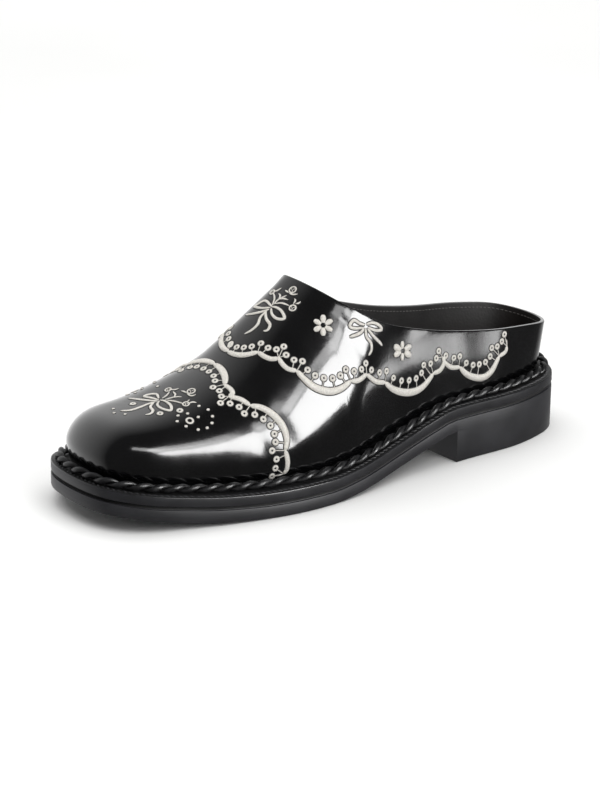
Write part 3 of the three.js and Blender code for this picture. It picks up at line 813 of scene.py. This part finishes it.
class Embroidery:
    """Satin stitches on the upper, each band with the pulled-in leather beside it, shown as a matt
    near-black strip of painted shade.
    """

    def __init__(self, skin):
        self.skin = skin
        self.bands = []
        self.edges = []
        self.knots = []

    def lay(self, places, halves, closed=False):
        """Lays one band through places that lie on the skin."""
        spots = [self.skin.nearest(place) for place in places]
        centres, ups = [s[0] for s in spots], [s[1] for s in spots]
        piles = [pile_of(h) for h in halves]
        self.bands.append(band(centres, ups, halves, piles, closed))
        # Beside each band, a wider, low, matt near-black strip: the pulled-in leather, with its shade
        # painted on.
        wide = [h + SHADE_HALO_WIDTH for h in halves]
        self.edges.append(band(centres, ups, wide, [SHADE_HALO_PILE] * len(wide), closed))

    def both(self, places, halves, closed=False, twin=True):
        """Lays a band, and its twin on the other side of the shoe."""
        self.lay(places, halves, closed)
        if twin:
            self.lay([self.skin.opposite(place)[0] for place in places], halves, closed)

    def drawn(self, pixels):
        """Places on the skin along a line of pixels."""
        seen = [self.skin.seen(pixel) for pixel in smooth_line(pixels, 1.0)]
        return evened([s[0] for s in seen if s], STEP)

    def stroke(self, pixels, ends, middle, twin=True):
        places = self.drawn(pixels)
        self.both(places, rounded(swelling(len(places), ends, middle)), twin=twin)
        return places

    def ring(self, place, radius=RING_RADIUS, half=RING_HALF, twin=True):
        for spot in [self.skin.nearest(place)] + ([self.skin.opposite(place)] if twin else []):
            centre, normal = spot
            across = normal.orthogonal().normalized()
            onward = normal.cross(across)
            count = 10 if radius < 1.3 else 14
            places = [
                centre + (across * math.cos(t) + onward * math.sin(t)) * radius
                for t in (2 * math.pi * i / count for i in range(count))
            ]
            self.lay(places, [half] * count, closed=True)

    def border(self, scallops, end, rings):
        """A scalloped line with eyelet rings on stalks along its inner side."""
        line = []
        for scallop in scallops:
            line += self.stroke(scallop["line"], BORDER_END, scallop["half"] * BORDER_SWELL)
        self.stroke(end["line"], end["half"], end["half"])
        for pixel in rings:
            place = self.skin.seen(pixel)[0]
            twin = place.x > MIDDLE_LINE + 1
            self.ring(place, twin=twin)
            foot = min(line, key=lambda p: (p - place).length)
            way = (foot - place).normalized()
            stalk = evened([place + way * RING_RADIUS * STALK_START, foot], STALK_STEP)
            self.both(stalk, [STALK_HALF] * len(stalk), twin=twin)

    def posy(self, drawing):
        for line in drawing["ribbons"]:
            self.stroke(line, STROKE_END, RIBBON_HALF, twin=False)
        for line in drawing["stems"]:
            self.stroke(line, STEM_END, STEM_HALF, twin=False)
        for pixel, radius in drawing["blossoms"]:
            place = self.skin.seen(pixel)[0]
            self.ring(place, radius, BLOSSOM_HALF, twin=False)
            self.petals(place, 3, 0.2, radius * 0.7, BLOSSOM_PETAL)

    def petals(self, place, count, inner, outer, half):
        """Petals round a blossom's middle, from an inner to an outer reach."""
        centre, normal = self.skin.nearest(place)
        forward = Vector((0, -1, 0)) - normal * normal.dot(Vector((0, -1, 0)))
        across = forward.normalized()
        onward = normal.cross(across)
        for k in range(count):
            t = 2 * math.pi * (k + 0.3) / count
            way = across * math.cos(t) + onward * math.sin(t)
            places = [centre + way * (inner + (outer - inner) * i / 5) for i in range(6)]
            halves = [half * share for share in PETAL_WIDTHS]
            self.lay(places, halves)

    def daisy(self, pixel, reach):
        """Six round petals, laid out as the picture shows them."""
        for k in range(6):
            t = math.radians(DAISY_TURN + 60 * k)
            way = Vector((math.cos(t), math.sin(t))) * reach
            ends = [tuple(Vector(pixel) + way * share) for share in (DAISY_EYE, 0.65, 1)]
            places = self.drawn(ends)
            most = (places[-1] - places[0]).length * PETAL_SHARE
            count = len(places)
            halves = [most * (0.35 + 0.65 * math.sin(math.pi * (0.12 + 0.8 * (i / (count - 1)) ** 1.3)))
                      for i in range(count)]
            self.both(places, halves)

    def seed(self, place, twin=True):
        for spot in [self.skin.nearest(place)] + ([self.skin.opposite(place)] if twin else []):
            centre, normal = spot
            forward = Vector((0, -1, 0)) - normal * normal.dot(Vector((0, -1, 0)))
            way = forward.normalized() * SEED_LENGTH
            places = [centre + way * (i / 3 - 0.5) for i in range(4)]
            self.lay(places, [SEED_HALF * s for s in (0.5, 1, 1, 0.5)])


def make_embroidery(skin):
    work = Embroidery(skin)
    work.border(QUARTER_SCALLOPS, QUARTER_END, QUARTER_RINGS)
    work.border(TOE_SCALLOPS, TOE_END, TOE_RINGS)
    work.posy(VAMP_POSY)
    work.posy(TOE_POSY)
    for pixel, reach in DAISIES:
        work.daisy(pixel, reach)
    for line in BOW:
        work.stroke(line, BOW_END, RIBBON_HALF)
    for pixel in TOE_RING_DOTS:
        work.ring(skin.seen(pixel)[0], twin=False)
    for pixel in TOE_SEEDS:
        work.seed(skin.seen(pixel)[0], twin=False)
    pixel, radius = SEED_RING
    work.ring(skin.seen(pixel)[0], radius, SEED_RING_HALF)
    for pixel in SEED_ROUND:
        work.seed(skin.seen(pixel)[0])
    floss = satin_thread("white_satin_floss", "#CBC7BF", "#E2DED6")
    thread = swept("embroidery", work.bands, HALF_ROUND, floss)
    worn(thread, "embroidery_thread")
    # Matt near-black strips round the bands: the pricked, pulled-in leather, with its shade painted on.
    shaded = matt_leather("pricked_calf_painted_shade", "#050505", "#0A0A0B", rough=(0.6, 0.75))
    shade_halo = swept("pricked_leather_painted_shade", work.edges, HALF_ROUND, shaded)
    worn(shade_halo, "upper_leather")


# The sole's edge line


class SoleEdge:
    """The welt's outer edge, walked round from the heel's back by the outer side, in millimetres."""

    def __init__(self):
        rows = {}
        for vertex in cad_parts["midsole"].data.vertices:
            rows.setdefault(round(vertex.co.y / MM, 2), []).append(vertex.co.x / MM)
        ys = sorted(rows, reverse=True)
        outer = [Vector((max(rows[y]), y, 0)) for y in ys]
        inner = [Vector((min(rows[y]), y, 0)) for y in ys[1:-1]]
        self.points = evened(smooth_line(outer + inner[::-1], 1.0, closed=True), 1.0, closed=True)
        count = len(self.points)
        self.outward = []
        for i in range(count):
            way = self.points[(i + 3) % count] - self.points[i - 3]
            self.outward.append(Vector((-way.y, way.x, 0)).normalized())
        middle = sum(self.points, Vector()) / count
        if self.outward[count // 4].dot(self.points[count // 4] - middle) < 0:
            self.outward = [-way for way in self.outward]
        self.tree = KDTree(count)
        for i, point in enumerate(self.points):
            self.tree.insert(point, i)
        self.tree.balance()

    def inset(self, distance):
        return [p - o * distance for p, o in zip(self.points, self.outward)]


def make_cord(edge):
    """Two strands twisted round the route of the CAD cord."""
    count = len(edge.points)
    depth, height, weight = [0.0] * count, [0.0] * count, [1e-9] * count
    reach = int(3 * CORD_BLUR)
    shares = [math.exp(-((k / CORD_BLUR) ** 2) / 2) for k in range(-reach, reach + 1)]
    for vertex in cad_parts["welt_braid"].data.vertices:
        place = vertex.co / MM
        flat = Vector((place.x, place.y, 0))
        _, i, _ = edge.tree.find(flat)
        inside = (edge.points[i] - flat).dot(edge.outward[i])
        for k, share in zip(range(-reach, reach + 1), shares):
            j = (i + k) % count
            depth[j] += share * inside
            height[j] += share * place.z
            weight[j] += share
    route = [
        point - outward * (d / w) + UP * (h / w)
        for point, outward, d, h, w in zip(edge.points, edge.outward, depth, height, weight)
    ]
    route = evened(route, CORD_STEP, closed=True)
    length = len(route) * CORD_STEP
    turns = round(length / CORD_LAY)
    strands = []
    for start in (0, math.pi):
        centres, ups, halves = [], [], []
        for i, place in enumerate(route):
            tangent = (route[(i + 1) % len(route)] - route[i - 1]).normalized()
            side = tangent.cross(UP).normalized()
            up = side.cross(tangent)
            angle = start + 2 * math.pi * turns * i / len(route)
            around = side * math.cos(angle) + up * math.sin(angle)
            centres.append(place - UP * CORD_DROP + around * CORD_TWIST)
            ups.append(around)
            halves.append(CORD_STRAND * (1 + CORD_LUMP * math.cos(angle - CORD_FRONT)))
        strands.append(band(centres, ups, halves, [half * 0.95 for half in halves], closed=True))
    cord = swept("twisted_cord", strands, ROUND, waxed_cord())
    worn(cord, "braid_leather", "welt_braid")


def stitches(line, ups, pitch, half, pile, lean=0.0):
    """Short thread bands along a closed line, with a gap between each two, slanted by a lean."""
    count = max(3, round(sum((a - b).length for a, b in zip(line, line[1:] + line[:1])) / pitch))
    per = len(line) / count
    made = []
    for k in range(count):
        start = k * per
        places, tops = [], []
        for s in range(4):
            at = start + per * STITCH_SHARE * s / 3
            i = int(at)
            t = at - i
            here, there, top = line[i % len(line)], line[(i + 1) % len(line)], ups[i % len(line)]
            side = (there - here).cross(top).normalized()
            places.append(here.lerp(there, t) + side * (lean * (s / 3 - 0.5)))
            tops.append(top)
        halves = [half * share for share in STITCH_WIDTHS]
        piles = [pile * share for share in STITCH_HEIGHTS]
        made.append(band(places, tops, halves, piles))
    return made


def seam(name, bands, material, slot):
    return worn(swept(name, bands, HALF_ROUND, material), slot)


def eased(piece, width, segments, where):
    """Rounds the sharp edges whose middle, in millimetres, is at such a place."""
    mesh = piece.data
    sides = {}
    for polygon in mesh.polygons:
        for key in polygon.edge_keys:
            sides.setdefault(key, []).append(polygon.normal)
    weights = mesh.attributes.new("bevel_weight_edge", "FLOAT", "EDGE")
    for edge in mesh.edges:
        a, b = (mesh.vertices[i].co / MM for i in edge.vertices)
        normals = sides[edge.key]
        sharp = len(normals) == 2 and normals[0].angle(normals[1]) > SHARP
        weights.data[edge.index].value = 1.0 if sharp and where((a + b) / 2) else 0.0
    return worked(piece, "BEVEL", width=width * MM, segments=segments, limit_method="WEIGHT")


def layer(node, name, width, material, slot, where=lambda place: True, segments=2, painted=()):
    """A layer of the sole with its corners eased, and some faces of other materials."""
    piece = eased(merged_copy(node, name), width, segments, where)
    piece.data.materials.append(material)
    for i, (other, chosen) in enumerate(painted):
        piece.data.materials.append(other)
        for polygon in piece.data.polygons:
            if chosen(polygon.center / MM, polygon.normal):
                polygon.material_index = i + 1
    smoothed(piece, 35)
    return worn(piece, slot, node)


# Studio


def direction(azimuth, elevation):
    a, e = math.radians(azimuth), math.radians(elevation)
    return Vector((math.sin(a) * math.cos(e), -math.cos(a) * math.cos(e), math.sin(e)))


def lamp(name, kind, power, gloss):
    """A light that shows in glossy surfaces alone, or lights everything but their gloss."""
    data = bpy.data.lights.new(name, kind)
    data.energy = power
    light = bpy.data.objects.new(name, data)
    bpy.context.scene.collection.objects.link(light)
    light.visible_camera = False
    light.visible_glossy = gloss
    light.visible_diffuse = not gloss
    return light


def softbox(name, at, far, size, turn, power, gloss):
    """A rectangular light that faces the shoe."""
    light = lamp(name, "AREA", power, gloss)
    light.data.shape = "RECTANGLE"
    light.data.size, light.data.size_y = size
    way = direction(*at)
    light.location = way * far + UP * LIGHT_AIM
    light.rotation_mode = "QUATERNION"
    light.rotation_quaternion = way.to_track_quat("Z", "Y") @ Quaternion((0, 0, 1), math.radians(turn))


def make_floor():
    bpy.ops.object.select_all(action="DESELECT")
    bpy.ops.mesh.primitive_plane_add(size=FLOOR_SIZE, location=(0, 0, -FLOOR_GAP))
    floor = bpy.context.object
    floor.name = "floor"
    floor.data.materials.append(pale_floor())
    floor.visible_glossy = False


def make_world():
    """A dim room with a pale wall behind the shoe."""
    world = bpy.data.worlds.new("studio")
    bpy.context.scene.world = world
    world.use_nodes = True
    tree = world.node_tree
    way = add(tree, "TexCoord").outputs["Generated"]
    facing = add(tree, "VectorMath", {0: way}, operation="DOT_PRODUCT")
    facing.inputs[1].default_value = direction(*WALL)
    light = ranged(tree, facing.outputs["Value"], ROOM_LIGHT, WALL_LIGHT, ROOM_START, 1)
    tree.links.new(light, tree.nodes["Background"].inputs["Strength"])
    tree.nodes["Background"].inputs["Color"].default_value = (1, 1, 1, 1)


def make_studio():
    make_floor()
    make_world()
    for box in SOFTBOXES:
        softbox(**box)
    overhead = lamp("overhead", "SUN", OVERHEAD, False)
    overhead.data.angle = math.radians(OVERHEAD_SPREAD)


# The shoe


def main():
    make_camera()
    make_studio()
    base = height_table("welt")
    upper, rims = make_upper(base)
    upper.data.materials.append(polished_calf())
    upper.data.materials.append(matt_leather("lining_leather", "#0E0B0A", "#16110F"))
    skin = Skin(upper, base)
    edge = SoleEdge()
    make_embroidery(skin)
    make_cord(edge)

    make_sole(base)
    make_seams(skin, edge, base, rims)


def make_sole(base):
    sock = matt_leather("sock_leather", "#14100E", "#1E1816")
    edge_finish = dressed_edge("inked_sole_edge", "#202023", "#26262A", rough=(0.4, 0.5))
    rubber = dressed_edge("moulded_sole_rubber", "#242427", "#2A2A2E", rough=(0.42, 0.52))
    waxed = dressed_edge("waxed_welt_top", "#0C0C0D", "#141415", rough=(0.45, 0.6))
    burnished = dressed_edge("burnished_welt_corner", "#1C1C1E", "#242427", rough=(0.12, 0.18))
    # Near-black matt faces at the top of the outsole's edge: painted shade in the groove.
    groove_shade = matt_leather("groove_painted_shade", "#070707", "#0D0D0E", rough=(0.75, 0.9), bump=0.4)
    layer("insole", "insole_sock", 1.0, sock, "insole_leather", segments=3)
    layer("welt", "welt_strip", 0.4, edge_finish, "welt_leather", lambda p: p.z > base(p.y) - 0.5, 3,
          [(waxed, lambda p, way: way.z > 0.9), (burnished, lambda p, way: 0.15 < way.z <= 0.9)])
    midsole = layer("midsole", "midsole_layer", 0.35, edge_finish, "midsole_leather",
                    lambda p: p.z < base(p.y) - WELT_TO_MIDSOLE)
    under_welt = height_table("welt", top=False)
    for vertex in midsole.data.vertices:
        y, z = vertex.co.y / MM, vertex.co.z / MM
        if z > base(y) - WELT_TO_MIDSOLE:
            vertex.co.z = under_welt(y) * MM
    above = height_table("midsole", top=False)
    layer("outsole", "outsole_layer", 0.35, rubber, "sole_rubber",
          lambda p: p.y < BREAST - 1 or p.z > HEEL_TOP + 1,
          painted=[(groove_shade, lambda p, way: p.z > above(p.y) - GROOVE_SHADE_DEPTH)])
    layer("heel", "heel_block", 0.45, rubber, "heel_rubber", lambda p: p.z < HEEL_TOP - 1)


def make_seams(skin, edge, base, rims):
    dark_thread = satin_thread("waxed_black_thread", "#1C1C1E", "#3A3A3D", sheen=0.0)
    line = [Vector((p.x, p.y, base(p.y))) for p in edge.inset(WELT_SEAM_INSET)]
    marks = stitches(line, [UP] * len(line), WELT_STITCH, WELT_THREAD, WELT_PILE, WELT_STITCH_LEAN)
    seam("welt_stitching", marks, dark_thread, "welt_leather")

    lining_thread = satin_thread("lining_thread", "#3E3B39", "#5A5653", sheen=0.1)
    rim = evened(smooth_line(rims["inner"], 1.0, closed=True), 0.6, closed=True)
    spots = [skin.lining(p - UP * COLLAR_SEAM_DROP) for p in rim]
    places, ups = [spot[0] for spot in spots], [spot[1] for spot in spots]
    marks = stitches(places, ups, COLLAR_STITCH, COLLAR_THREAD, COLLAR_THREAD)
    seam("collar_stitching", marks, lining_thread, "upper_leather")


main()
